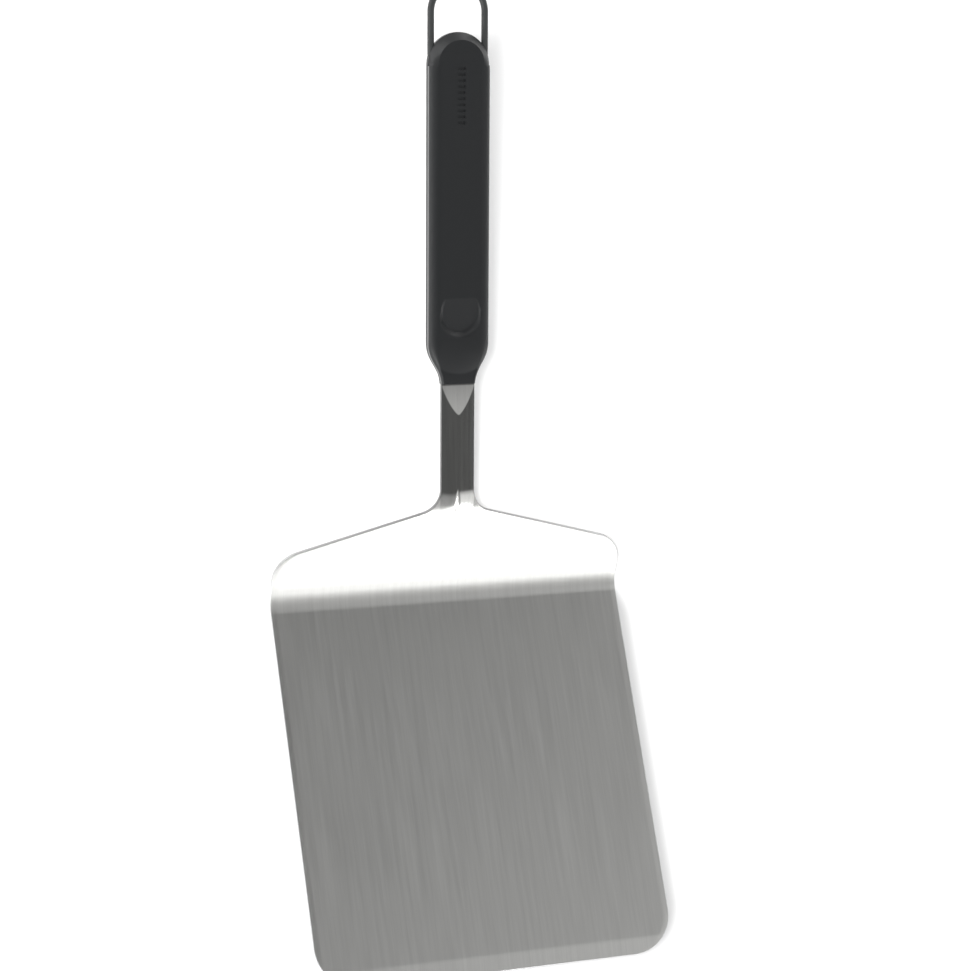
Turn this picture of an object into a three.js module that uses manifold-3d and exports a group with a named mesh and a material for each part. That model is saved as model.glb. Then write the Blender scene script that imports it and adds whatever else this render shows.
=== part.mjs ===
// Wide grill spatula: a pressed stainless steel blade whose shoulder, crowned neck
// and tang are one sheet, held in a two-shell handle with a wire hanging loop.
// Units are millimetres. +Z is up, the blade lies flat on z = 0 with its centre at
// the origin, the front edge faces -Y and the handle rises towards +Y.

import * as THREE from 'three';
import { mergeVertices } from 'three/addons/utils/BufferGeometryUtils.js';
import Module from 'manifold-3d';

const wasm = await Module();
wasm.setup();

// ---- driving dimensions -------------------------------------------------------

const RAD = Math.PI / 180;

// sheet metal
const SHEET = 1.8;                  // sheet thickness
const BLADE_WIDTH = 178;
const BLADE_LENGTH = 186;           // front edge to the shoulder fold
const BLADE_CORNER = 20;            // front corner radius
const SHOULDER_ANGLE = 46.5;          // rise of the shoulder above the blade
const SHOULDER_LENGTH = 52.6;       // fold to fold
const SHOULDER_SIDE = 13.1;         // straight side edge above the fold
const SHOULDER_CORNER = 16;         // rounding where the side turns into the wing
const WING_SLOPE = 16.4;            // slope of the wing edges
const NECK_ANGLE = 27;              // rise of neck and handle above the blade
const NECK_WIDTH = 16.8;
const NECK_LENGTH = 56.2;           // fold to the handle's collar
const NECK_FILLET = 12;             // rounding between wing and neck
const NECK_CROWN = 1.2;             // height of the raised middle of the neck
const CROWN_POWER = 1.3;            // 1 is a gable, 2 a round arch
const CROWN_START = 1;              // where the crown leaves the shoulder's plane
const CROWN_FACET = 14.5;           // length of the ramp that ends the crown
const CROWN_MARGIN = 0.5;           // flat left between that ramp and the collar
const CROWN_ROOT = 0.6;             // how far the crown's bar reaches down into the sheet
const LOWER_FOLD_RADIUS = 13;       // inside radius between blade and shoulder
const UPPER_FOLD_RADIUS = 30;       // inside radius between shoulder and neck
const BEVEL_LENGTH = 7.4;           // ground edge at the front of the blade
const EDGE_THICKNESS = 0.7;         // thickness left at the front edge

// handle; u is the distance along the neck and handle from the neck fold
const GAP = 0.3;                    // clearance between neighbouring pieces
const HANDLE_WIDTH = 30;
const HANDLE_END = 221.7;
const COLLAR_START = NECK_LENGTH + 0.1;
const COLLAR_END = 61.5;
const CURVE_START_PULL = [0.7, 65]; // S curve: widening and distance of its first handle,
const CURVE_END_PULL = [0.1, 66.8]; // the same for its second, short of full width,
const CURVE_END = 76;               // and where it reaches full width
const SLOPE_END = 78;               // where the collar's slope reaches full height
const FRONT_TOP = 5.6;              // front face above the underside of the tang
const BACK_BOTTOM = -8;             // back face below it
const COLLAR_TOP = 3.9;
const COLLAR_BOTTOM = -2.6;
const FRONT_EDGE_RADIUS = 5;
const BACK_EDGE_RADIUS = 7;
const TANG_END = 206;               // the tang is as wide as the handle up to here
const PARTING = 0.9;                // height at which the shells meet beyond the tang

// thumb rest pressed into the front face: a tilted dish that fades out upwards
const THUMB_CENTRE = 89.5;
const THUMB_FLOOR_RADIUS = 6.2;
const THUMB_RIM_RADIUS = 13.6;
const THUMB_WALL = 4.4;             // height of the cone between floor and rim
const THUMB_DEPTH = 2.3;            // depth at the deepest point
const THUMB_TILT = 7.5;

// fastenings; bosses on the front shell pass through holes in the tang
const SCREW_POSITIONS = [114, 162, 196];
const TANG_HOLE = 4.25;             // all of these are radii
const BOSS_RADIUS = 3.9;
const INSERT_RADIUS = 2.4;
const INSERT_BORE = 1.8;
const SCREW_RADIUS = 1.5;
const HEAD_RADIUS = 2.7;
const SOCKET_RADIUS = 1.3;
const PLUG_RADIUS = 3.4;
const BOSS_ROOT = 4;                // upper end of the bosses, inside the front shell
const BOSS_END = -3;                // lower end of the bosses
const INSERT_LENGTH = 6;
const SHANK_LENGTH = 6;
const HEAD_HEIGHT = 2;
const HEAD_SEAT = -3.9;             // face the screw heads pull against
const SOCKET_DEPTH = 1;
const PLUG_HEIGHT = 1.5;

// hanging loop
const WIRE_RADIUS = 1.6;
const LOOP_HALF = 13.3;             // centre line of each leg from the middle
const LOOP_CENTRE = 231;            // centre of the half round end
const LOOP_FOOT = 209;              // where the legs turn inwards, past the tang
const FOOT_REACH = 5;               // how far each foot reaches inwards
const FOOT_RADIUS = 2.6;
const WIRE_HEIGHT = -0.6;           // centre line above the underside of the tang
const LOOP_STEPS = 80;               // facets along the loop,
const FOOT_STEPS = 4;                // points that guide each foot's bend
const END_STEPS = 16;                // and the half round end

// decoration: plain sunk bars near the handle's end
const BAR_COUNT = 10;
const BAR_PITCH = 2.8;
const BAR_START = 179.2;
const BAR_LENGTH = 3.6;
const BAR_WIDTH = 1.3;
const BAR_DEPTH = 0.6;

const ROUND_STEPS = 24;
const EDGE_STEPS = 6;
const CURVE_STEPS = 10;
const ARCH_STEPS = 12;
const BEYOND = 5;                   // how far cutters reach past what they cut
const LAP = 2;                      // overlap of outlines that are joined

// ---- solids --------------------------------------------------------------------

function solidOf(geometry) {
  const plain = geometry.index ? geometry.clone() : geometry;
  plain.deleteAttribute('normal');
  plain.deleteAttribute('uv');
  const merged = mergeVertices(plain, 1e-5);
  return new wasm.Manifold(new wasm.Mesh({
    numProp: 3,
    vertProperties: new Float32Array(merged.attributes.position.array),
    triVerts: new Uint32Array(merged.index.array),
  }));
}

function geometryOf(solid) {
  const data = solid.getMesh();
  const geometry = new THREE.BufferGeometry();
  geometry.setAttribute('position', new THREE.BufferAttribute(data.vertProperties, 3));
  geometry.setIndex(new THREE.BufferAttribute(data.triVerts, 1));
  return geometry;
}

// A named piece; handle pieces are modelled level and tilted into place here.
function meshOf(name, solid, look, frame = BLADE_FRAME) {
  const geometry = geometryOf(solid).applyMatrix4(frame);
  geometry.computeVertexNormals();
  const mesh = new THREE.Mesh(geometry, new THREE.MeshStandardMaterial(look));
  mesh.name = name;
  return mesh;
}

// A flat outline made solid between two heights.
function slab(shape, low, high, frame = BLADE_FRAME) {
  const geometry = new THREE.ExtrudeGeometry(shape, {
    depth: high - low, bevelEnabled: false, curveSegments: ROUND_STEPS / 2,
  });
  geometry.translate(0, 0, low);
  return solidOf(geometry.applyMatrix4(frame));
}

// A side profile, drawn as (along, height), made solid across the tool's width.
function acrossWidth(shape, halfWidth) {
  const geometry = new THREE.ExtrudeGeometry(shape, {
    depth: 2 * halfWidth, bevelEnabled: false, curveSegments: ROUND_STEPS / 2,
  });
  geometry.translate(0, 0, -halfWidth);
  const turn = new THREE.Matrix4().makeBasis(
    new THREE.Vector3(0, 1, 0), new THREE.Vector3(0, 0, 1), new THREE.Vector3(1, 0, 0));
  return solidOf(geometry.applyMatrix4(turn));
}

// A round bar or disc standing across the handle at distance u.
function peg(radius, low, high, u) {
  const geometry = new THREE.CylinderGeometry(radius, radius, high - low, ROUND_STEPS);
  geometry.rotateX(Math.PI / 2);
  geometry.translate(0, u, (low + high) / 2);
  return solidOf(geometry);
}

function box(x, y, z) {
  const shape = new THREE.Shape();
  shape.moveTo(x[0], y[0]);
  shape.lineTo(x[1], y[0]);
  shape.lineTo(x[1], y[1]);
  shape.lineTo(x[0], y[1]);
  shape.closePath();
  return slab(shape, z[0], z[1]);
}

function polygon(points) {
  return new THREE.Shape(points.map(([a, b]) => new THREE.Vector2(a, b)));
}

// ---- frames: blade, shoulder and handle planes ------------------------------------

function tilted(angle, y, z) {
  const frame = new THREE.Matrix4().makeRotationX(angle * RAD);
  frame.setPosition(0, y, z);
  return frame;
}

const BLADE_FOLD = BLADE_LENGTH / 2;
const NECK_FOLD_Y = BLADE_FOLD + SHOULDER_LENGTH * Math.cos(SHOULDER_ANGLE * RAD);
const NECK_FOLD_Z = SHOULDER_LENGTH * Math.sin(SHOULDER_ANGLE * RAD);
const BLADE_FRAME = new THREE.Matrix4();
const SHOULDER_FRAME = tilted(SHOULDER_ANGLE, BLADE_FOLD, 0);
const HANDLE_FRAME = tilted(NECK_ANGLE, NECK_FOLD_Y, NECK_FOLD_Z);

// ---- blade ---------------------------------------------------------------------

// One edge of the folded sheet: the fold's arc, drawn from the direction `from` to
// the direction `to` around a centre above (turn 1) or below (turn -1) the sheet.
function foldArc(shape, cy, cz, radius, from, to, turn) {
  const offset = turn > 0 ? -90 : 90;
  shape.absarc(cy, cz, radius, (from + offset) * RAD, (to + offset) * RAD, from > to);
}

// The sheet seen from the side, from the ground front edge to the end of the tang.
function foldedSheet() {
  const lower = LOWER_FOLD_RADIUS + SHEET;
  const reach1 = lower * Math.tan(SHOULDER_ANGLE * RAD / 2);
  const centre1 = [BLADE_FOLD - reach1, lower];
  const upper = UPPER_FOLD_RADIUS;
  const reach2 = upper * Math.tan((SHOULDER_ANGLE - NECK_ANGLE) * RAD / 2);
  const along2 = SHOULDER_LENGTH - reach2;
  const sin = Math.sin(SHOULDER_ANGLE * RAD);
  const cos = Math.cos(SHOULDER_ANGLE * RAD);
  const centre2 = [BLADE_FOLD + along2 * cos + upper * sin, along2 * sin - upper * cos];
  const tangEnd = (height) => [
    NECK_FOLD_Y + TANG_END * Math.cos(NECK_ANGLE * RAD) - height * Math.sin(NECK_ANGLE * RAD),
    NECK_FOLD_Z + TANG_END * Math.sin(NECK_ANGLE * RAD) + height * Math.cos(NECK_ANGLE * RAD),
  ];
  const shape = new THREE.Shape();
  shape.moveTo(-BLADE_LENGTH / 2, 0);
  foldArc(shape, ...centre1, lower, 0, SHOULDER_ANGLE, 1);
  foldArc(shape, ...centre2, upper, SHOULDER_ANGLE, NECK_ANGLE, -1);
  shape.lineTo(...tangEnd(0));
  shape.lineTo(...tangEnd(SHEET));
  foldArc(shape, ...centre2, upper + SHEET, NECK_ANGLE, SHOULDER_ANGLE, -1);
  foldArc(shape, ...centre1, LOWER_FOLD_RADIUS, SHOULDER_ANGLE, 0, 1);
  shape.lineTo(BEVEL_LENGTH - BLADE_LENGTH / 2, SHEET);
  shape.lineTo(-BLADE_LENGTH / 2, EDGE_THICKNESS);
  shape.closePath();
  return acrossWidth(shape, BLADE_WIDTH / 2 + BEYOND);
}

function bladeOutline() {
  const half = BLADE_WIDTH / 2;
  const front = -BLADE_LENGTH / 2;
  const shape = new THREE.Shape();
  shape.moveTo(half, BLADE_FOLD + LAP);
  shape.lineTo(-half, BLADE_FOLD + LAP);
  shape.absarc(-half + BLADE_CORNER, front + BLADE_CORNER, BLADE_CORNER, Math.PI, Math.PI * 1.5);
  shape.absarc(half - BLADE_CORNER, front + BLADE_CORNER, BLADE_CORNER, Math.PI * 1.5, Math.PI * 2);
  shape.closePath();
  return shape;
}

// The shoulder narrows along its wing edges into the neck, seen square to its plane.
function shoulderOutline() {
  const half = BLADE_WIDTH / 2;
  const neck = NECK_WIDTH / 2;
  const slope = WING_SLOPE * RAD;
  const cornerCentre = [half - SHOULDER_CORNER, SHOULDER_SIDE];
  const wingBase = SHOULDER_SIDE + SHOULDER_CORNER / Math.cos(slope)
    + (half - SHOULDER_CORNER) * Math.tan(slope);
  const filletX = neck + NECK_FILLET;
  const filletU = wingBase - filletX * Math.tan(slope) + NECK_FILLET / Math.cos(slope);
  const shape = new THREE.Shape();
  shape.moveTo(-half, -LAP);
  shape.lineTo(half, -LAP);
  shape.absarc(...cornerCentre, SHOULDER_CORNER, 0, Math.PI / 2 - slope);
  shape.absarc(filletX, filletU, NECK_FILLET, -Math.PI / 2 - slope, -Math.PI, true);
  shape.lineTo(neck, filletU + LAP);
  shape.lineTo(-neck, filletU + LAP);
  shape.absarc(-filletX, filletU, NECK_FILLET, 0, -Math.PI / 2 + slope, true);
  shape.absarc(-cornerCentre[0], cornerCentre[1], SHOULDER_CORNER, Math.PI / 2 + slope, Math.PI);
  shape.closePath();
  return shape;
}

// The raised middle of the neck: an arched bar cut off by the shoulder's plane at one
// end and by the shallow ramp that leads into the flat tang at the other.
function crown() {
  const half = NECK_WIDTH / 2;
  const root = SHEET - CROWN_ROOT;
  const high = SHEET + 2 * NECK_CROWN;
  const arch = [[-half, root]];
  for (let i = 0; i <= ARCH_STEPS; i += 1) {
    const x = -half + (2 * half * i) / ARCH_STEPS;
    arch.push([x, SHEET + NECK_CROWN * (1 - Math.abs(x / half) ** CROWN_POWER)]);
  }
  arch.push([half, root]);
  const geometry = new THREE.ExtrudeGeometry(polygon(arch), { depth: NECK_LENGTH, bevelEnabled: false });
  const turn = new THREE.Matrix4().makeBasis(
    new THREE.Vector3(1, 0, 0), new THREE.Vector3(0, 0, 1), new THREE.Vector3(0, -1, 0));
  turn.setPosition(0, NECK_LENGTH, 0);
  const bar = solidOf(geometry.applyMatrix4(turn));
  const lift = Math.tan((SHOULDER_ANGLE - NECK_ANGLE) * RAD);
  const rampEnd = NECK_LENGTH - CROWN_MARGIN;
  const rampRoot = rampEnd + CROWN_FACET * CROWN_ROOT / NECK_CROWN;
  const envelope = polygon([
    [CROWN_START - CROWN_ROOT / lift, root - BEYOND],
    [CROWN_START - CROWN_ROOT / lift, root],
    [CROWN_START + 2 * NECK_CROWN / lift, high],
    [rampEnd - 2 * CROWN_FACET, high],
    [rampRoot, root],
    [rampRoot, root - BEYOND],
  ]);
  return solidOf(geometryOf(bar.intersect(acrossWidth(envelope, NECK_WIDTH))).applyMatrix4(HANDLE_FRAME));
}

function blade() {
  const half = NECK_WIDTH / 2;
  const neck = polygon([[-half, 0], [half, 0], [half, COLLAR_START + LAP], [-half, COLLAR_START + LAP]]);
  const outline = slab(bladeOutline(), -BEYOND, 2 * BEYOND, BLADE_FRAME)
    .add(slab(shoulderOutline(), -BEYOND, BEYOND, SHOULDER_FRAME))
    .add(slab(neck, -BEYOND, BEYOND, HANDLE_FRAME))
    .add(slab(handleOutline(0), -BEYOND, BEYOND, HANDLE_FRAME));
  const raised = crown();
  const underside = raised.translate(
    [0, SHEET * Math.sin(NECK_ANGLE * RAD), -SHEET * Math.cos(NECK_ANGLE * RAD)]);
  let solid = foldedSheet().add(raised).subtract(underside).intersect(outline);
  for (const u of SCREW_POSITIONS) {
    const hole = geometryOf(peg(TANG_HOLE, -BEYOND, BEYOND, u)).applyMatrix4(HANDLE_FRAME);
    solid = solid.subtract(solidOf(hole));
  }
  return solid;
}

// ---- handle --------------------------------------------------------------------

// Outline from the narrow collar, through an S curve each side, to the round end,
// drawn inside the true edge by `inset`. It starts below the collar; the trim in
// sideEnvelope cuts the collar's lower end.
function handleOutline(inset) {
  const half = HANDLE_WIDTH / 2;
  const collar = NECK_WIDTH / 2;
  const curve = new THREE.CubicBezierCurve(
    new THREE.Vector2(collar, COLLAR_START),
    new THREE.Vector2(collar + CURVE_START_PULL[0], CURVE_START_PULL[1]),
    new THREE.Vector2(half - CURVE_END_PULL[0], CURVE_END_PULL[1]),
    new THREE.Vector2(half, CURVE_END));
  const right = [[collar - inset, COLLAR_START - 2 * BEYOND + inset]];
  for (let i = 0; i <= CURVE_STEPS; i += 1) {
    const point = curve.getPoint(i / CURVE_STEPS);
    const along = curve.getTangent(i / CURVE_STEPS);
    right.push([point.x - inset * along.y, point.y + inset * along.x]);
  }
  const shape = new THREE.Shape();
  shape.moveTo(...right[0]);
  right.slice(1).forEach(([x, u]) => shape.lineTo(x, u));
  shape.absarc(0, HANDLE_END - half, half - inset, 0, Math.PI);
  right.reverse().forEach(([x, u]) => shape.lineTo(-x, u));
  return shape;
}

// The handle's body behind one face, with that face's edge rounded.
function roundedBody(face, radius) {
  const geometry = new THREE.ExtrudeGeometry(handleOutline(radius), {
    depth: radius, bevelEnabled: true, bevelThickness: radius, bevelSize: radius,
    bevelSegments: EDGE_STEPS, curveSegments: ROUND_STEPS / 2,
  });
  geometry.translate(0, 0, face > 0 ? face - 2 * radius : face + radius);
  return solidOf(geometry);
}

// Trims the body to full height on the grip, down a curved slope to the thin collar.
function sideEnvelope(parting, collar, face) {
  const past = face + Math.sign(face) * BEYOND;
  const shape = new THREE.Shape();
  shape.moveTo(COLLAR_START, parting);
  shape.lineTo(HANDLE_END + BEYOND, parting);
  shape.lineTo(HANDLE_END + BEYOND, past);
  shape.lineTo(SLOPE_END + BEYOND, past);
  shape.lineTo(SLOPE_END, face);
  shape.quadraticCurveTo((SLOPE_END + COLLAR_END) / 2, face, COLLAR_END, collar);
  shape.lineTo(COLLAR_START, collar);
  shape.closePath();
  return acrossWidth(shape, HANDLE_WIDTH);
}

// Points on a round bend, from one angle to another in degrees.
function bendPoints(x, u, radius, from, to, steps) {
  return Array.from({ length: steps + 1 }, (_, i) => {
    const angle = (from + ((to - from) * i) / steps) * RAD;
    return new THREE.Vector3(x + radius * Math.cos(angle), u + radius * Math.sin(angle), 0);
  });
}

// A round bar along the loop: foot, leg, half round end, leg, foot.
function loopBar(radius) {
  const bend = LOOP_HALF - FOOT_RADIUS;
  const tip = bend - FOOT_REACH;
  const line = new THREE.CatmullRomCurve3([
    new THREE.Vector3(-tip, LOOP_FOOT, 0),
    ...bendPoints(-bend, LOOP_FOOT + FOOT_RADIUS, FOOT_RADIUS, 270, 180, FOOT_STEPS),
    ...bendPoints(0, LOOP_CENTRE, LOOP_HALF, 180, 0, END_STEPS),
    ...bendPoints(bend, LOOP_FOOT + FOOT_RADIUS, FOOT_RADIUS, 0, -90, FOOT_STEPS),
    new THREE.Vector3(tip, LOOP_FOOT, 0),
  ], false, 'centripetal');
  const ring = new THREE.Shape();
  ring.absarc(0, 0, radius, 0, Math.PI * 2);
  const geometry = new THREE.ExtrudeGeometry(ring, {
    steps: LOOP_STEPS, bevelEnabled: false, curveSegments: ROUND_STEPS / 4, extrudePath: line,
  });
  geometry.translate(0, 0, WIRE_HEIGHT);
  return solidOf(geometry);
}

// The slot the tang takes up between the shells, open at both sides of the handle.
function tangSlot() {
  return box([-HANDLE_WIDTH, HANDLE_WIDTH], [COLLAR_START - BEYOND, TANG_END + GAP], [-GAP, SHEET + GAP]);
}

function thumbRest() {
  const geometry = new THREE.CylinderGeometry(
    THUMB_RIM_RADIUS, THUMB_FLOOR_RADIUS, THUMB_WALL, 2 * ROUND_STEPS);
  geometry.rotateX(Math.PI / 2 + THUMB_TILT * RAD);
  const fall = THUMB_FLOOR_RADIUS * Math.sin(THUMB_TILT * RAD);
  geometry.translate(0, THUMB_CENTRE, FRONT_TOP + THUMB_WALL / 2 - THUMB_DEPTH + fall);
  return solidOf(geometry);
}

function frontShell() {
  let solid = roundedBody(FRONT_TOP, FRONT_EDGE_RADIUS)
    .intersect(sideEnvelope(PARTING + GAP / 2, COLLAR_TOP, FRONT_TOP))
    .subtract(tangSlot())
    .subtract(loopBar(WIRE_RADIUS + GAP))
    .subtract(thumbRest());
  for (const u of SCREW_POSITIONS) {
    solid = solid.add(peg(BOSS_RADIUS, BOSS_END, BOSS_ROOT, u))
      .subtract(peg(INSERT_RADIUS + GAP, BOSS_END - BEYOND, BOSS_END + INSERT_LENGTH + GAP, u));
  }
  for (let i = 0; i < BAR_COUNT; i += 1) {
    const u = BAR_START + i * BAR_PITCH;
    solid = solid.subtract(box(
      [-BAR_LENGTH / 2, BAR_LENGTH / 2], [u, u + BAR_WIDTH], [FRONT_TOP - BAR_DEPTH, FRONT_TOP + BEYOND]));
  }
  return solid;
}

function backShell() {
  let solid = roundedBody(BACK_BOTTOM, BACK_EDGE_RADIUS)
    .intersect(sideEnvelope(PARTING - GAP / 2, COLLAR_BOTTOM, BACK_BOTTOM))
    .subtract(tangSlot())
    .subtract(loopBar(WIRE_RADIUS + GAP));
  for (const u of SCREW_POSITIONS) {
    solid = solid
      .subtract(peg(BOSS_RADIUS + GAP, BOSS_END - GAP, BEYOND, u))
      .subtract(peg(SCREW_RADIUS + GAP, HEAD_SEAT - GAP, BOSS_END, u))
      .subtract(peg(PLUG_RADIUS + GAP, BACK_BOTTOM - BEYOND, HEAD_SEAT, u));
  }
  return solid;
}

// ---- fastenings ------------------------------------------------------------------

function insert(u) {
  const low = BOSS_END + GAP;
  const high = BOSS_END + INSERT_LENGTH;
  return peg(INSERT_RADIUS, low, high, u).subtract(peg(INSERT_BORE, low - BEYOND, high + BEYOND, u));
}

// A socket screw, head down, that pulls on the seat inside the back shell.
function screw(u) {
  const seat = HEAD_SEAT - GAP;
  return peg(SCREW_RADIUS, seat - HEAD_HEIGHT / 2, seat + SHANK_LENGTH, u)
    .add(peg(HEAD_RADIUS, seat - HEAD_HEIGHT, seat, u))
    .subtract(peg(SOCKET_RADIUS, seat - HEAD_HEIGHT - BEYOND, seat - HEAD_HEIGHT + SOCKET_DEPTH, u));
}

function plug(u) {
  return peg(PLUG_RADIUS, BACK_BOTTOM, BACK_BOTTOM + PLUG_HEIGHT, u);
}

// ---- looks and assembly ---------------------------------------------------------

const STEEL = { color: 0xb4b2ae, roughness: 0.35, metalness: 1 };
const MOULDING = { color: 0x2e3032, roughness: 0.6, metalness: 0 };
const WIRE = { color: 0x37393a, roughness: 0.45, metalness: 0.4 };
const BRASS = { color: 0xb8964e, roughness: 0.35, metalness: 1 };
const ZINC = { color: 0x8d9092, roughness: 0.4, metalness: 1 };

const spatula = new THREE.Group();
spatula.name = 'grill_spatula';
spatula.add(
  meshOf('blade', blade(), STEEL),
  meshOf('front_shell', frontShell(), MOULDING, HANDLE_FRAME),
  meshOf('back_shell', backShell(), MOULDING, HANDLE_FRAME),
  meshOf('hanging_loop', loopBar(WIRE_RADIUS), WIRE, HANDLE_FRAME),
);
SCREW_POSITIONS.forEach((u, index) => {
  const number = index + 1;
  spatula.add(
    meshOf(`insert_${number}`, insert(u), BRASS, HANDLE_FRAME),
    meshOf(`screw_${number}`, screw(u), ZINC, HANDLE_FRAME),
    meshOf(`plug_${number}`, plug(u), MOULDING, HANDLE_FRAME),
  );
});

export default spatula;
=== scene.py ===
"""Looks of the wide grill spatula: brushed steel blade, matte two-shell handle, wire loop."""

import math

import bmesh
import bpy
import numpy as np
from mathutils import Matrix, Vector


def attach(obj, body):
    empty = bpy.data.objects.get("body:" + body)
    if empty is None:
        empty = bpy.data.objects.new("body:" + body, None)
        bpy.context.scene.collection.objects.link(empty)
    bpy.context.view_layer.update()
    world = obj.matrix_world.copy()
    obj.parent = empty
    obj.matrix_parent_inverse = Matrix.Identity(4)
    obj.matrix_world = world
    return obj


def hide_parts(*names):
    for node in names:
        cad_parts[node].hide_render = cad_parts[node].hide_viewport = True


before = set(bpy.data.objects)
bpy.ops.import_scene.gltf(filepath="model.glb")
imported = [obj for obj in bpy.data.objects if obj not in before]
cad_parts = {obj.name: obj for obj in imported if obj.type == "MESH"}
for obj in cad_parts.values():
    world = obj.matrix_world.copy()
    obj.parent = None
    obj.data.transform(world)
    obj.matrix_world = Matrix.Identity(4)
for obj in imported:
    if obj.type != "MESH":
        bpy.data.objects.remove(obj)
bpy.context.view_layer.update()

MM = 0.001
RIGHT_ANGLE = math.pi / 2

# ---- sizes in millimetres, following the CAD part --------------------------------------
#
# s is the distance along the flattened sheet from its front edge, u the distance along
# the neck and handle from the neck fold, and heights are above the sheet's underside.

SHEET = 1.8
BLADE_WIDTH = 178.0
BLADE_LENGTH = 186.0
BLADE_CORNER = 20.0
SHOULDER_ANGLE = math.radians(46.5)
SHOULDER_LENGTH = 52.6
SHOULDER_SIDE = 13.1
SHOULDER_CORNER = 16.0
WING_SLOPE = math.radians(16.4)
NECK_ANGLE = math.radians(27)
NECK_WIDTH = 16.8
NECK_LENGTH = 56.2
NECK_FILLET = 12.0
LOWER_FOLD_RADIUS = 13.0
UPPER_FOLD_RADIUS = 30.0
BEVEL_LENGTH = 7.4
EDGE_THICKNESS = 0.7
SHEET_EDGE = 0.25

# raised middle of the neck: it rises out of the shoulder over CROWN_RISE, later at its
# sides and in the notch, and ends in a ramp near the collar
NECK_CROWN = 1.2
CROWN_POWER = 1.3
CROWN_START = 2.4
CROWN_RISE = 16.0
CROWN_SIDE_LAG = 2.4
CROWN_LAG_SHARE = 0.45
CROWN_FACET = 14.5
CROWN_MARGIN = 0.5
RAMP_CURVE = 0.25
NOTCH_DEPTH = 5.2
NOTCH_HALF = 0.7
NOTCH_POWER = 1.5

# handle: the shells stay SEAM off the tang and each other and meet at PARTING beyond the
# tang; LIP bevels their inner edges, and the back's edge starts to round at BACK_WALL
HANDLE_WIDTH = 30.0
HANDLE_END = 221.7
COLLAR_START = NECK_LENGTH + 0.1
COLLAR_END = 61.2
COLLAR_HALF = NECK_WIDTH / 2
CURVE_START_PULL = (0.7, 65.0)
CURVE_END_PULL = (0.1, 66.8)
CURVE_END = 76.0
SLOPE_END = 78.0
FRONT_TOP = 5.6
BACK_BOTTOM = -8.0
COLLAR_TOP = 3.9
COLLAR_BOTTOM = -2.6
COLLAR_DROOP = 0.25
CREASE_BOW = 2.0
PARTING = 0.9
SEAM = 0.12
LIP = 0.15
BACK_WALL = -1.0
FRONT_EDGE_RADIUS = 5.0
END_EDGE_RADIUS = 3.6
COLLAR_EDGE_RADIUS = 1.2
BACK_EDGE_RADIUS = 7.0
END_EDGE_START = 199.0
CHAMFER_START = 203.0
CHAMFER_FULL = 214.0

# thumb rest: a dish with sloping walls, drawn out upwards; its floor rises from
# THUMB_DEPTH at the lower rim to the face over THUMB_FADE
THUMB_CENTRE = 89.0
THUMB_RADIUS = 10.2
THUMB_WALL = math.tan(math.radians(42))
THUMB_DEPTH = 2.4
THUMB_FADE = 19.0
THUMB_STRETCH = 0.8

TANG_END = 206.0
SCREW_POSITIONS = (114.0, 162.0, 196.0)
TANG_HOLE = 4.25
PLUG_BORE = 3.5
PLUG_DEPTH = 2.2

# plain sunk bars near the handle's end
BAR_COUNT = 10
BAR_PITCH = 2.8
BAR_START = 179.2
BAR_LENGTH = 3.6
BAR_WIDTH = 1.3
BAR_DEPTH = 0.6

WIRE_RADIUS = 1.6
LOOP_HALF = 13.3
LOOP_CENTRE = 231.0
LOOP_FOOT = 209.0
FOOT_REACH = 5.0
FOOT_RADIUS = 2.6
WIRE_HEIGHT = -0.6

BLADE_FOLD = BLADE_LENGTH / 2
NECK_FOLD_Y = BLADE_FOLD + SHOULDER_LENGTH * math.cos(SHOULDER_ANGLE)
NECK_FOLD_Z = SHOULDER_LENGTH * math.sin(SHOULDER_ANGLE)

# how finely the pieces are meshed
BLADE_COLUMNS = 56
HANDLE_COLUMNS = 48
FRONT_EDGE_STEPS = 11
BACK_EDGE_STEPS = 13
WIRE_SIDES = 24
BORE_SIDES = 48
FINE_NECK = 20.0
COLLAR_LEAD = 1.0
WELD_DISTANCE = 0.002
SHARP_ANGLE = math.radians(35)
BEYOND = 1.0

# ---- camera, light and finish: places and sizes in metres ------------------------------

# the camera's sensor and lens are in millimetres
CAMERA_PLACE = (-0.39327, -0.1933, 1.16698)
CAMERA_RIGHT = (0.94301, -0.14579, 0.29914)
CAMERA_DOWN = (-0.05330, -0.95348, -0.29670)
SENSOR_WIDTH = 36
LENS = 95.3
CLIP_RANGE = (0.05, 20)

# studio brightness by angle, from the horizon behind the handle over the zenith to the
# horizon in front of the blade, and its factor from the left (-1) to the right (1)
OVERHEAD = ((0, 3.0), (10, 2.0), (20, 1.2), (34, 1.2), (41, 1.9), (48, 1.9), (56, 0.12), (68, 0.12),
            (74, 0.13), (80, 0.20), (85, 0.48), (90, 0.62), (102, 0.60), (112, 0.65), (115, 0.62),
            (119, 0.40), (123, 0.0), (131, 0.0), (136, 0.40), (142, 0.64), (150, 0.70), (157, 0.74),
            (162, 0.78), (165, 0.92), (167, 2.4), (169, 4.8), (180, 5.4))
ACROSS = ((-1, 2.0), (-0.5, 1.7), (-0.2, 0.85), (0.05, 0.58), (0.18, 0.64), (0.31, 0.94), (0.42, 1.4),
          (0.55, 1.7), (0.75, 1.3), (1, 1.1))
DARK_BAND = 0.12

LIGHT_TARGET = (0, 0.05, 0.03)
KEY_PLACE = (-0.452, -0.186, 1.148)
KEY_SIZE = 0.10
KEY_WATTS = 12.5
FILL_PLACE = (-0.6, 0.1, 1.3)
FILL_SIZE = 1.4
FILL_WATTS = 2.5

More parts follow.
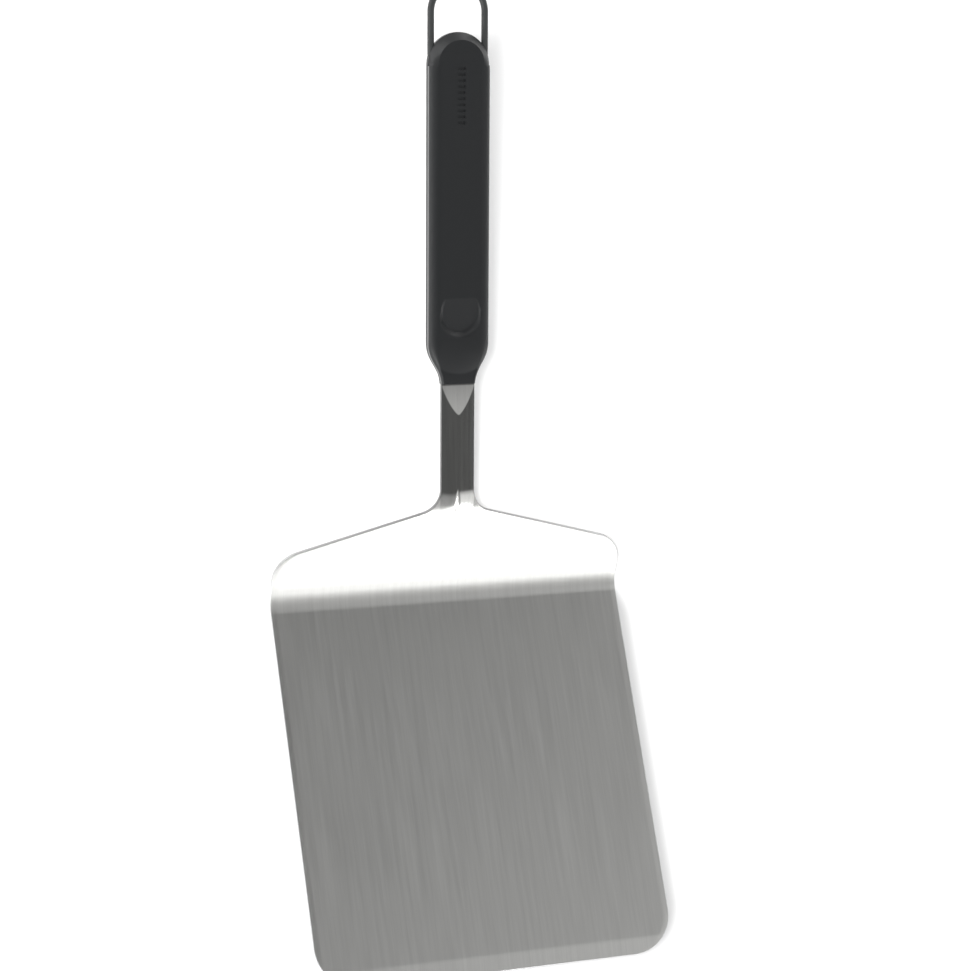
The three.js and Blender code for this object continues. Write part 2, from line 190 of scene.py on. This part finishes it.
STEEL_COLOUR = (0.60, 0.60, 0.585)
MOULDING_COLOUR = (0.0080, 0.0086, 0.0093)
COATING_COLOUR = (0.024, 0.0255, 0.0255)
BRASS_COLOUR = (0.72, 0.52, 0.24)
ZINC_COLOUR = (0.55, 0.56, 0.58)
GRAIN_DEPTH = 0.00005

# steel roughness by share of ROUGHNESS_TOP: blade, stretched fold, shoulder, smooth neck
ROUGHNESS_TOP = 0.05
ROUGHNESS_BY_HEIGHT = ((0.0, 0.34), (0.040, 0.34), (0.052, 0.50), (0.14, 0.50), (0.2, 0.36), (0.60, 0.36),
                       (0.70, 0.22), (0.84, 0.10), (1.0, 0.10))

# grey of the sheet's bare cut edge on the wings, and the darker grey, a painted shade, that it fades to
# over the shoulder and keeps along the neck and where it lies between the shells
WING_EDGE_GREY = 0.62
PAINTED_SHADE_EDGE_GREY = 0.22

# white floor with a soft painted contact shadow along the right of the blade
FLOOR_SIZE = 4.0
FLOOR_DROP = 0.0002
PAPER_GREY = 0.86
PAINTED_SHADOW_CENTRE = (0.006, 0.002, 0)
PAINTED_SHADOW_HALF = (0.085, 0.091, 1)
PAINTED_SHADOW_CORNER = 0.02
PAINTED_SHADOW_REACH = 0.009
PAINTED_SHADOW_DEPTH = 0.42


# ---- camera ----------------------------------------------------------------------------

def add_camera():
    data = bpy.data.cameras.new("camera")
    data.sensor_fit = "HORIZONTAL"
    data.sensor_width = SENSOR_WIDTH
    data.lens = LENS
    data.clip_start, data.clip_end = CLIP_RANGE
    camera = bpy.data.objects.new("camera", data)
    right, down = Vector(CAMERA_RIGHT), Vector(CAMERA_DOWN)
    forward = right.cross(down)
    turn = Matrix((right, -down, -forward)).transposed().to_4x4()
    camera.matrix_world = Matrix.Translation(CAMERA_PLACE) @ turn
    bpy.context.scene.collection.objects.link(camera)
    bpy.context.scene.camera = camera


# ---- outlines: rows of (half width, distance along) with their outward normals ---------

def smooth(value, low, high):
    """Soft step: 0 up to low, 1 from high on."""
    t = np.clip((value - low) / (high - low), 0, 1)
    return t * t * (3 - 2 * t)


def arc(centre_x, centre_u, radius, start, end, count):
    """A round corner with the normals that point away from its centre."""
    angle = np.linspace(start, end, count)
    normal = np.column_stack([np.cos(angle), np.sin(angle)])
    return np.array([centre_x, centre_u]) + radius * normal, normal


def straight(p, q, count):
    p, q = np.array(p, float), np.array(q, float)
    step = (q - p) / np.linalg.norm(q - p)
    points = p + (q - p) * np.linspace(0, 1, count)[:, None]
    return points, np.tile([step[1], -step[0]], (count, 1))


def bezier(p, q, r, s, count):
    t = np.linspace(0, 1, count)[:, None]
    p, q, r, s = (np.array(v, float) for v in (p, q, r, s))
    points = p * (1 - t) ** 3 + 3 * q * t * (1 - t) ** 2 + 3 * r * t * t * (1 - t) + s * t ** 3
    slope = 3 * ((q - p) * (1 - t) ** 2 + 2 * (r - q) * t * (1 - t) + (s - r) * t * t)
    slope /= np.linalg.norm(slope, axis=1)[:, None]
    return points, np.column_stack([slope[:, 1], -slope[:, 0]])


def joined(*runs):
    """One outline from runs that each start where the run before ends."""
    points = [runs[0][0]]
    normals = [runs[0][1]]
    for p, n in runs[1:]:
        points.append(p[1:])
        normals.append(n[1:])
    return np.vstack(points), np.vstack(normals)


# ---- mesh helpers ----------------------------------------------------------------------

def add_piece(name, bm, *materials):
    mesh = bpy.data.meshes.new(name)
    bm.to_mesh(mesh)
    bm.free()
    mesh.shade_smooth()
    mesh.set_sharp_from_angle(angle=SHARP_ANGLE)
    for material in materials:
        mesh.materials.append(material)
    piece = bpy.data.objects.new(name, mesh)
    bpy.context.scene.collection.objects.link(piece)
    return piece


def band(bm, first, second):
    """Faces between two closed rings of vertices."""
    count = len(first)
    faces = []
    for i in range(count):
        j = (i + 1) % count
        faces.append(bm.faces.new((first[i], second[i], second[j], first[j])))
    return faces


def add_tube(bm, rings):
    """A closed tube through rings of vertices."""
    for ring, following in zip(rings, rings[1:]):
        band(bm, following, ring)
    bm.faces.new(rings[0][::-1])
    bm.faces.new(rings[-1])


def contour(side, across):
    """Closed contour: a right-hand side, the far end, the mirrored side and the near end."""
    middle = across[1:-1]
    far = np.column_stack([middle * side[-1, 0], np.full(len(middle), side[-1, 1])])
    near = np.column_stack([-middle * side[0, 0], np.full(len(middle), side[0, 1])])
    return np.vstack([side, far, side[::-1] * (-1, 1), near])


def fill(bm, ring, side, across, height, place, flip):
    """Fill a contour's ring of vertices with rows of faces at the given height."""
    rows = len(side)
    columns = len(across) - 1
    grid = [[None] * (columns + 1) for _ in range(rows)]
    for i in range(rows):
        grid[i][0] = ring[i]
        grid[i][columns] = ring[2 * rows + columns - 2 - i]
    for c in range(1, columns):
        grid[rows - 1][c] = ring[rows - 1 + c]
        grid[0][c] = ring[len(ring) - c]
    for i in range(1, rows - 1):
        x = across * side[i, 0]
        u = np.full(columns + 1, side[i, 1])
        z = height(x, u)
        for c in range(1, columns):
            grid[i][c] = bm.verts.new(place(x[c], u[c], z[c]))
    for row, following in zip(grid, grid[1:]):
        for c in range(columns):
            quad = (row[c], following[c], following[c + 1], row[c + 1])
            bm.faces.new(quad[::-1] if flip else quad)


def plate(outline, normals, columns, rim, top, bottom, place, rim_material=0):
    """A closed plate from the right-hand half of its outline, with rounded rims.

    rim holds an (inset, height) pair for each ring down the side: how far it lies inside
    the outline and height(x, u). top and bottom give the faces' heights, and place turns
    (x, u, height) into a point of the row frame.
    """
    across = np.linspace(1, -1, columns + 1)
    bm = bmesh.new()
    sides, rings = [], []
    for inset, height in rim:
        side = outline - normals * np.broadcast_to(inset, len(outline))[:, None]
        flat = contour(side, across)
        z = height(flat[:, 0], flat[:, 1])
        sides.append(side)
        rings.append([bm.verts.new(place(x, u, h)) for (x, u), h in zip(flat, z)])
    for upper, lower in zip(rings, rings[1:]):
        for face in band(bm, upper, lower):
            face.material_index = rim_material
    fill(bm, rings[0], sides[0], across, top, place, flip=False)
    fill(bm, rings[-1], sides[-1], across, bottom, place, flip=True)
    bmesh.ops.remove_doubles(bm, verts=bm.verts, dist=WELD_DISTANCE * MM)
    bmesh.ops.recalc_face_normals(bm, faces=bm.faces)
    return bm


# ---- places on the handle and on the folded sheet --------------------------------------

def on_handle(x, u, h):
    """The point of the row frame at x, u and height h in the plane of neck and handle."""
    return Vector((
        x,
        NECK_FOLD_Y + u * math.cos(NECK_ANGLE) - h * math.sin(NECK_ANGLE),
        NECK_FOLD_Z + u * math.sin(NECK_ANGLE) + h * math.cos(NECK_ANGLE),
    )) * MM


# where the two folds start and end along the flattened sheet
LOWER_RADIUS = LOWER_FOLD_RADIUS + SHEET
LOWER_REACH = LOWER_RADIUS * math.tan(SHOULDER_ANGLE / 2)
LOWER_START = BLADE_LENGTH - LOWER_REACH
LOWER_END = LOWER_START + LOWER_RADIUS * SHOULDER_ANGLE
UPPER_TURN = SHOULDER_ANGLE - NECK_ANGLE
UPPER_REACH = UPPER_FOLD_RADIUS * math.tan(UPPER_TURN / 2)
UPPER_START = LOWER_END + SHOULDER_LENGTH - LOWER_REACH - UPPER_REACH
UPPER_END = UPPER_START + UPPER_FOLD_RADIUS * UPPER_TURN

# where the shoulder's and the neck's planes would meet the planes before them
SHOULDER_ZERO = LOWER_END - LOWER_REACH
NECK_ZERO = UPPER_END - UPPER_REACH


def on_sheet(x, s, h):
    """The point of the row frame at x, s and height h of the folded sheet."""
    if s <= LOWER_START:
        y, z, angle = s - BLADE_FOLD, 0.0, 0.0
    elif s <= LOWER_END:
        angle = (s - LOWER_START) / LOWER_RADIUS
        y = BLADE_FOLD - LOWER_REACH + LOWER_RADIUS * math.sin(angle)
        z = LOWER_RADIUS * (1 - math.cos(angle))
    elif s <= UPPER_START:
        angle = SHOULDER_ANGLE
        along = s - SHOULDER_ZERO
        y, z = BLADE_FOLD + along * math.cos(angle), along * math.sin(angle)
    elif s <= UPPER_END:
        angle = SHOULDER_ANGLE - (s - UPPER_START) / UPPER_FOLD_RADIUS
        along = SHOULDER_LENGTH - UPPER_REACH
        sine, cosine = math.sin(SHOULDER_ANGLE), math.cos(SHOULDER_ANGLE)
        centre_y = BLADE_FOLD + along * cosine + UPPER_FOLD_RADIUS * sine
        centre_z = along * sine - UPPER_FOLD_RADIUS * cosine
        y = centre_y - UPPER_FOLD_RADIUS * math.sin(angle)
        z = centre_z + UPPER_FOLD_RADIUS * math.cos(angle)
    else:
        return on_handle(x, s - NECK_ZERO, h)
    return Vector((x, y - h * math.sin(angle), z + h * math.cos(angle))) * MM


# ---- blade -----------------------------------------------------------------------------

def blade_edge():
    """Front corner, straight side and side of the fold."""
    half = BLADE_WIDTH / 2
    corner = arc(half - BLADE_CORNER, BLADE_CORNER, BLADE_CORNER, -RIGHT_ANGLE, 0, count=24)
    side = straight((half, BLADE_CORNER), (half, LOWER_START), count=22)
    fold = straight((half, LOWER_START), (half, LOWER_END), count=16)
    return corner, side, fold


def shoulder_edge():
    """Side of the shoulder, its round corner, the sloping wing and the fillet to the neck."""
    half = BLADE_WIDTH / 2
    corner_x, corner_s = half - SHOULDER_CORNER, SHOULDER_ZERO + SHOULDER_SIDE
    wing_base = corner_s + SHOULDER_CORNER / math.cos(WING_SLOPE) + corner_x * math.tan(WING_SLOPE)
    fillet_x = NECK_WIDTH / 2 + NECK_FILLET
    fillet_s = wing_base - fillet_x * math.tan(WING_SLOPE) + NECK_FILLET / math.cos(WING_SLOPE)
    upright = straight((half, LOWER_END), (half, corner_s), count=6)
    corner = arc(corner_x, corner_s, SHOULDER_CORNER, 0, RIGHT_ANGLE - WING_SLOPE, count=20)
    fillet, inward = arc(fillet_x, fillet_s, NECK_FILLET, -RIGHT_ANGLE - WING_SLOPE, -math.pi, count=28)
    wing = straight(corner[0][-1], fillet[0], count=26)
    return upright, corner, wing, (fillet, -inward)


def sheet_outline():
    """Right-hand half of the flattened sheet from the front edge to the tang's end."""
    upright, corner, wing, fillet = shoulder_edge()
    neck = NECK_WIDTH / 2
    collar = NECK_ZERO + NECK_LENGTH
    base = straight(fillet[0][-1], (neck, collar - FINE_NECK), count=50)
    ramp = straight((neck, collar - FINE_NECK), (neck, collar - COLLAR_LEAD), count=50)
    lead = straight((neck, collar - COLLAR_LEAD), (neck, NECK_ZERO + COLLAR_START), count=4)
    curve, outward = side_curve(count=40)
    curve = curve + (0, NECK_ZERO)
    tang = straight(curve[-1], (HANDLE_WIDTH / 2, NECK_ZERO + TANG_END), count=90)
    return joined(*blade_edge(), upright, corner, wing, fillet, base, ramp, lead,
                  (curve, outward), tang)


def crown(x, s):
    """Height of the raised middle of the neck above the flat sheet.

    Its lower end runs into the shoulder in two lobes with a sharp notch between them.
    """
    u = s - NECK_ZERO
    half = NECK_WIDTH / 2
    side = np.abs(x)
    arch = NECK_CROWN * (1 - np.clip(side / half, 0, 1) ** CROWN_POWER)
    notch = NOTCH_DEPTH * np.exp(-(side / NOTCH_HALF) ** NOTCH_POWER)
    full = CROWN_START + notch + CROWN_SIDE_LAG * smooth(side, CROWN_LAG_SHARE * half, half)
    t = np.clip((NECK_LENGTH - CROWN_MARGIN - u) / CROWN_FACET, 0, None)
    ramp = NECK_CROWN * ((1 - RAMP_CURVE) * t + RAMP_CURVE * t * t)
    return np.minimum(arch * smooth(u, full - CROWN_RISE, full), ramp)


def upper_face(x, s):
    """Height of the sheet's upper face, which is ground down to the front edge."""
    slope = (SHEET - EDGE_THICKNESS) / BEVEL_LENGTH
    return SHEET + crown(x, s) - np.clip((BEVEL_LENGTH - s) * slope, 0, None)


def shifted(face, amount):
    return lambda x, s: face(x, s) + amount


def blade_mesh():
    outline, normals = sheet_outline()
    turns = np.radians([0, 30, 60, 90])
    rim = []
    for face, side_turns, inwards in ((upper_face, turns, -1), (crown, turns[::-1], 1)):
        for turn in side_turns:
            inset = SHEET_EDGE * (1 - math.sin(turn))
            rim.append((inset, shifted(face, inwards * SHEET_EDGE * (1 - math.cos(turn)))))
    return plate(outline, normals, BLADE_COLUMNS, rim, upper_face, crown, on_sheet, rim_material=1)


# ---- handle ----------------------------------------------------------------------------

def side_curve(count):
    """The S curve from the narrow collar to the full width of the grip."""
    half = HANDLE_WIDTH / 2
    return bezier((COLLAR_HALF, COLLAR_START),
                  (COLLAR_HALF + CURVE_START_PULL[0], CURVE_START_PULL[1]),
                  (half - CURVE_END_PULL[0], CURVE_END_PULL[1]), (half, CURVE_END), count)


def handle_outline():
    half = HANDLE_WIDTH / 2
    grip = straight((half, CURVE_END), (half, HANDLE_END - half), count=200)
    end = arc(0, HANDLE_END - half, half, 0, RIGHT_ANGLE, count=40)
    return joined(side_curve(count=44), grip, end)


def edge_radius(outline, grip, end):
    """Radius of a shell's edge along its outline: at the collar, the grip and the end."""
    u = outline[:, 1]
    radius = COLLAR_EDGE_RADIUS + (grip - COLLAR_EDGE_RADIUS) * smooth(u, COLLAR_END, CURVE_END)
    return radius + (end - grip) * smooth(u, END_EDGE_START, CHAMFER_FULL)


def seam(above, beyond):
    """Height of a shell's inner face: on the tang, and beyond the tang's end."""
    return lambda x, u: np.where(u < TANG_END + SEAM, above, beyond)


def thumb_rest(x, u):
    """Depth of the thumb rest: a dish with a sloping floor that rises to meet the face."""
    along = u - THUMB_CENTRE
    reach = np.hypot(x, np.where(along > 0, THUMB_STRETCH * along, along))
    wall = THUMB_WALL * (THUMB_RADIUS - reach)
    floor = THUMB_DEPTH * (1 - (along + THUMB_RADIUS) / THUMB_FADE)
    return np.clip(np.minimum(wall, floor), 0, None)


def front_face(x, u):
    """Height of the front: drooping collar, bowed crease, curved slope and flat grip."""
    crease = COLLAR_END + CREASE_BOW * (x / COLLAR_HALF) ** 2
    fall = np.clip((SLOPE_END - u) / (SLOPE_END - crease), 0, 1)
    rise = FRONT_TOP - (FRONT_TOP - COLLAR_TOP) * fall ** 2
    droop = COLLAR_DROOP * np.clip((COLLAR_END - u) / (COLLAR_END - COLLAR_START), 0, 1) ** 2
    return rise - droop - thumb_rest(x, u)


def back_face(x, u):
    fall = np.clip((SLOPE_END - u) / (SLOPE_END - COLLAR_END), 0, 1)
    return BACK_BOTTOM + (COLLAR_BOTTOM - BACK_BOTTOM) * fall ** 2


def edge_share(round_share, turn, u):
    """Share of a rounded edge at one turn; towards the handle's end it is a flat chamfer."""
    flat = smooth(u, CHAMFER_START, CHAMFER_FULL)
    return round_share * (1 - flat) + (1 - turn / RIGHT_ANGLE) * flat


def front_shell_mesh():
    outline, normals = handle_outline()
    radius = edge_radius(outline, FRONT_EDGE_RADIUS, END_EDGE_RADIUS)
    low = seam(SHEET + SEAM, PARTING + SEAM / 2)

    def edge_at(turn):
        def height(x, u):
            face = front_face(x, u)
            start = np.minimum(low(x, u) + LIP, face - LIP)
            return start + (face - start) * edge_share(math.cos(turn), turn, u)
        return height

    rim = []
    for turn in np.radians(np.linspace(0, 90, FRONT_EDGE_STEPS)):
        rim.append((radius * edge_share(1 - math.sin(turn), turn, outline[:, 1]), edge_at(turn)))
    rim.append((LIP, low))
    return plate(outline, normals, HANDLE_COLUMNS, rim, front_face, low, on_handle)


def back_shell_mesh():
    outline, normals = handle_outline()
    radius = edge_radius(outline, BACK_EDGE_RADIUS, BACK_EDGE_RADIUS)
    high = seam(-SEAM, PARTING - SEAM / 2)

    def edge_at(turn):
        def height(x, u):
            face = back_face(x, u)
            start = BACK_WALL * (face / BACK_BOTTOM)
            return start + (face - start) * math.cos(turn)
        return height

    rim = [(LIP, high), (0.0, shifted(high, -LIP))]
    for turn in np.radians(np.linspace(90, 0, BACK_EDGE_STEPS)):
        rim.append((radius * (1 - math.sin(turn)), edge_at(turn)))
    return plate(outline, normals, HANDLE_COLUMNS, rim, high, back_face, on_handle)


# ---- hanging loop ----------------------------------------------------------------------

def loop_line():
    """The wire's centre line: foot, leg, half round end, leg, foot."""
    bend = LOOP_HALF - FOOT_RADIUS
    tip = bend - FOOT_REACH
    foot = LOOP_FOOT + FOOT_RADIUS
    left, _ = arc(-bend, foot, FOOT_RADIUS, 3 * RIGHT_ANGLE, math.pi, count=10)
    top, _ = arc(0, LOOP_CENTRE, LOOP_HALF, math.pi, 0, count=64)
    right, _ = arc(bend, foot, FOOT_RADIUS, 0, -RIGHT_ANGLE, count=10)
    return np.vstack([[(-tip, LOOP_FOOT)], left, top, right, [(tip, LOOP_FOOT)]])


def loop_mesh():
    line = loop_line()
    slope = np.gradient(line, axis=0)
    slope /= np.linalg.norm(slope, axis=1)[:, None]
    bm = bmesh.new()
    rings = []
    for (x, u), (along_x, along_u) in zip(line, slope):
        ring = []
        for k in range(WIRE_SIDES):
            angle = 2 * math.pi * k / WIRE_SIDES
            out = WIRE_RADIUS * math.cos(angle)
            height = WIRE_HEIGHT + WIRE_RADIUS * math.sin(angle)
            ring.append(bm.verts.new(on_handle(x + along_u * out, u - along_x * out, height)))
        rings.append(ring)
    add_tube(bm, rings)
    bmesh.ops.recalc_face_normals(bm, faces=bm.faces)
    return bm


# ---- cuts ------------------------------------------------------------------------------

def add_prism(bm, outline, low, high):
    """A straight prism between two heights over the handle."""
    add_tube(bm, [[bm.verts.new(on_handle(x, u, h)) for x, u in outline] for h in (low, high)])


def bars_cutter():
    bm = bmesh.new()
    half = BAR_LENGTH / 2
    for i in range(BAR_COUNT):
        u = BAR_START + i * BAR_PITCH
        outline = [(-half, u), (half, u), (half, u + BAR_WIDTH), (-half, u + BAR_WIDTH)]
        add_prism(bm, outline, FRONT_TOP - BAR_DEPTH, FRONT_TOP + BEYOND)
    return bm


def bores_cutter(radius, low, high):
    bm = bmesh.new()
    for u in SCREW_POSITIONS:
        outline, _ = arc(0, u, radius, 0, 2 * math.pi, count=BORE_SIDES + 1)
        add_prism(bm, outline[:-1], low, high)
    return bm


def cut(piece, cutter_bm):
    cutter = add_piece("cutter", cutter_bm, piece.data.materials[0])
    modifier = piece.modifiers.new("cut", "BOOLEAN")
    modifier.object = cutter
    modifier.solver = "EXACT"
    modifier.operation = "DIFFERENCE"
    bpy.context.view_layer.update()
    evaluated = piece.evaluated_get(bpy.context.evaluated_depsgraph_get())
    mesh = bpy.data.meshes.new_from_object(evaluated)
    piece.modifiers.clear()
    piece.data = mesh
    mesh.set_sharp_from_angle(angle=SHARP_ANGLE)
    bpy.data.objects.remove(cutter)


# ---- materials -------------------------------------------------------------------------

def grey_ramp(tree, source, stops):
    """A grey colour ramp through (place, value) stops."""
    node = tree.nodes.new("ShaderNodeValToRGB")
    tree.links.new(source, node.inputs["Fac"])
    elements = node.color_ramp.elements
    while len(elements) < len(stops):
        elements.new(0.5)
    for element, (place, value) in zip(elements, stops):
        element.position = place
        element.color = (value, value, value, 1)
    return node.outputs["Color"]


class Nodes:
    """Short names for building one node material."""

    def __init__(self, name):
        self.material = bpy.data.materials.new(name)
        self.material.use_nodes = True
        self.tree = self.material.node_tree
        self.shader = self.tree.nodes["Principled BSDF"]

    def link(self, source, target):
        self.tree.links.new(source, target)

    def set(self, **values):
        for key, value in values.items():
            self.shader.inputs[key.replace("_", " ")].default_value = value

    def position(self, scale=(1, 1, 1)):
        coords = self.tree.nodes.new("ShaderNodeTexCoord")
        mapping = self.tree.nodes.new("ShaderNodeMapping")
        mapping.inputs["Scale"].default_value = scale
        self.link(coords.outputs["Object"], mapping.inputs["Vector"])
        return mapping.outputs["Vector"]

    def coordinate(self, axis):
        split = self.tree.nodes.new("ShaderNodeSeparateXYZ")
        self.link(self.position(), split.inputs["Vector"])
        return split.outputs[axis]

    def noise(self, size, scale=(1, 1, 1), detail=2.0, rough=0.6):
        node = self.tree.nodes.new("ShaderNodeTexNoise")
        node.inputs["Scale"].default_value = size
        node.inputs["Detail"].default_value = detail
        node.inputs["Roughness"].default_value = rough
        self.link(self.position(scale), node.inputs["Vector"])
        return node.outputs["Fac"]

    def add(self, a, b):
        node = self.tree.nodes.new("ShaderNodeMath")
        self.link(a, node.inputs[0])
        self.link(b, node.inputs[1])
        return node.outputs[0]

    def vector(self, operation, a, b=None):
        node = self.tree.nodes.new("ShaderNodeVectorMath")
        node.operation = operation
        self.link(a, node.inputs[0])
        if b is not None:
            node.inputs[1].default_value = b
        return node

    def remap(self, source, low, high, start=0.3, end=0.7, easing="LINEAR"):
        """Turns start..end of the source into low..high."""
        node = self.tree.nodes.new("ShaderNodeMapRange")
        node.interpolation_type = easing
        node.inputs["From Min"].default_value = start
        node.inputs["From Max"].default_value = end
        node.inputs["To Min"].default_value = low
        node.inputs["To Max"].default_value = high
        self.link(source, node.inputs["Value"])
        return node.outputs["Result"]

    def bump(self, source, strength):
        node = self.tree.nodes.new("ShaderNodeBump")
        node.inputs["Strength"].default_value = strength
        node.inputs["Distance"].default_value = GRAIN_DEPTH
        self.link(source, node.inputs["Height"])
        self.link(node.outputs["Normal"], self.shader.inputs["Normal"])


def steel():
    """Brushed along the blade, rougher where the fold stretched it, smoother on the neck."""
    n = Nodes("brushed_steel")
    n.set(Metallic=1.0)
    fine = n.noise(4200, scale=(1, 0.012, 0.012), detail=3.0)
    broad = n.noise(500, scale=(1, 0.03, 0.03), rough=0.5)
    both = n.add(fine, broad)
    tint = n.remap(both, 0.94, 1.06, start=0.7, end=1.3)
    colour = n.vector("MULTIPLY", tint, STEEL_COLOUR)
    n.link(colour.outputs[0], n.shader.inputs["Base Color"])
    streaks = n.remap(both, -0.03, 0.03, start=0.7, end=1.3)
    share = n.remap(n.coordinate("Z"), 0, 1, start=0, end=ROUGHNESS_TOP)
    by_height = grey_ramp(n.tree, share, ROUGHNESS_BY_HEIGHT)
    n.link(n.add(streaks, by_height), n.shader.inputs["Roughness"])
    n.bump(fine, strength=0.06)
    return n.material


def grained(name, colour, ior, size, smoothest, roughest, strength):
    """A dark satin surface with a fine grain."""
    n = Nodes(name)
    n.set(Base_Color=(*colour, 1), IOR=ior)
    grain = n.noise(size)
    n.link(n.remap(grain, smoothest, roughest), n.shader.inputs["Roughness"])
    n.bump(grain, strength)
    return n.material


def moulding():
    return grained("charcoal_moulding", MOULDING_COLOUR, ior=1.42, size=2600,
                   smoothest=0.35, roughest=0.43, strength=0.06)


def coating():
    return grained("satin_black_coating", COATING_COLOUR, ior=1.46, size=1800,
                   smoothest=0.36, roughest=0.46, strength=0.05)


def cut_edge():
    """Bare cut edge of the sheet, in its own grey on the wings and darkened by painted shade along the neck
    and between the shells.
    """
    n = Nodes("cut_edge")
    n.set(Metallic=1.0, Roughness=0.42)
    # painted shade: the edge's grey falls from the wings' grey over the shoulder to a dark grey along the
    # neck and tang
    grey = n.remap(n.coordinate("Y"), WING_EDGE_GREY, PAINTED_SHADE_EDGE_GREY,
                   start=BLADE_FOLD * MM, end=NECK_FOLD_Y * MM)
    n.link(grey, n.shader.inputs["Base Color"])
    return n.material


def plain_metal(name, colour):
    n = Nodes(name)
    n.set(Base_Color=(*colour, 1), Metallic=1.0)
    n.link(n.remap(n.noise(1500), 0.29, 0.41), n.shader.inputs["Roughness"])
    return n.material


def floor_paper():
    """White paper with a soft painted shadow where the blade's right edge meets it."""
    n = Nodes("pale_floor")
    n.set(Roughness=0.9)
    core = [half - PAINTED_SHADOW_CORNER for half in PAINTED_SHADOW_HALF]
    from_centre = n.vector("SUBTRACT", n.position(), PAINTED_SHADOW_CENTRE)
    away = n.vector("ABSOLUTE", from_centre.outputs[0])
    past_core = n.vector("SUBTRACT", away.outputs[0], core)
    outside = n.vector("MAXIMUM", past_core.outputs[0], (0, 0, 0))
    distance = n.vector("LENGTH", outside.outputs[0]).outputs["Value"]
    # painted shadow: the paper's grey darkens within a rounded box set off to the blade's right
    shade = n.remap(distance, 1, 0, start=PAINTED_SHADOW_CORNER, end=PAINTED_SHADOW_CORNER + PAINTED_SHADOW_REACH, easing="SMOOTHSTEP")
    grey = n.remap(shade, PAPER_GREY, PAPER_GREY * (1 - PAINTED_SHADOW_DEPTH), start=0, end=1)
    n.link(grey, n.shader.inputs["Base Color"])
    return n.material


# ---- stage -----------------------------------------------------------------------------

def add_floor():
    bm = bmesh.new()
    bmesh.ops.create_grid(bm, x_segments=4, y_segments=4, size=FLOOR_SIZE)
    piece = add_piece("floor", bm, floor_paper())
    piece.location.z = -FLOOR_DROP


def area_light(name, place, size, watts):
    """A square light that reflections don't show."""
    data = bpy.data.lights.new(name, "AREA")
    data.shape = "SQUARE"
    data.size, data.energy = size, watts
    light = bpy.data.objects.new(name, data)
    light.location = place
    aim = Vector(LIGHT_TARGET) - Vector(place)
    light.rotation_mode = "QUATERNION"
    light.rotation_quaternion = aim.to_track_quat("-Z", "Y")
    light.visible_glossy = False
    bpy.context.scene.collection.objects.link(light)


def add_world():
    """A soft studio whose brightness follows OVERHEAD and ACROSS, never below DARK_BAND."""
    world = bpy.data.worlds.new("studio")
    world.use_nodes = True
    tree = world.node_tree
    coords = tree.nodes.new("ShaderNodeTexCoord")
    split = tree.nodes.new("ShaderNodeSeparateXYZ")
    tree.links.new(coords.outputs["Generated"], split.inputs["Vector"])

    def math_node(operation, *values):
        node = tree.nodes.new("ShaderNodeMath")
        node.operation = operation
        for socket, value in zip(node.inputs, values):
            if isinstance(value, (int, float)):
                socket.default_value = value
            else:
                tree.links.new(value, socket)
        return node.outputs[0]

    around = math_node("ARCTAN2", split.outputs["Z"], split.outputs["Y"])
    half_turns = math_node("DIVIDE", around, math.pi)
    overhead = grey_ramp(tree, half_turns, [(angle / 180, value) for angle, value in OVERHEAD])
    sideways = math_node("MULTIPLY_ADD", split.outputs["X"], 0.5, 0.5)
    across = grey_ramp(tree, sideways, [((x + 1) / 2, value) for x, value in ACROSS])
    light = math_node("MAXIMUM", math_node("MULTIPLY", overhead, across), DARK_BAND)
    tree.links.new(light, tree.nodes["Background"].inputs["Color"])
    bpy.context.scene.world = world


# ---- assembly --------------------------------------------------------------------------

add_camera()
STEEL = steel()
CUT_EDGE = cut_edge()
MOULDING = moulding()
COATING = coating()

pieces = {}
for name, builder, materials, node, slot in (
    ("steel_sheet", blade_mesh, (STEEL, CUT_EDGE), "blade", "blade_steel"),
    ("front_grip", front_shell_mesh, (MOULDING,), "front_shell", "handle_moulding"),
    ("back_grip", back_shell_mesh, (MOULDING,), "back_shell", "handle_moulding"),
    ("wire_loop", loop_mesh, (COATING,), "hanging_loop", "loop_coating"),
):
    piece = add_piece(name, builder(), *materials)
    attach(piece, "root")
    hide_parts(node)
    pieces[name] = piece

cut(pieces["front_grip"], bars_cutter())
cut(pieces["back_grip"], bores_cutter(PLUG_BORE, BACK_BOTTOM - BEYOND, BACK_BOTTOM + PLUG_DEPTH))
cut(pieces["steel_sheet"], bores_cutter(TANG_HOLE, -SHEET, 2 * SHEET))

BRASS = plain_metal("insert_brass", BRASS_COLOUR)
ZINC = plain_metal("zinc_plating", ZINC_COLOUR)
for name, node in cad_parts.items():
    for start, material in (("insert", BRASS), ("screw", ZINC), ("plug", MOULDING)):
        if name.startswith(start):
            node.data.materials.clear()
            node.data.materials.append(material)

add_floor()
add_world()
area_light("key", KEY_PLACE, KEY_SIZE, KEY_WATTS)
area_light("fill", FILL_PLACE, FILL_SIZE, FILL_WATTS)
bpy.context.scene.view_settings.view_transform = "Standard"
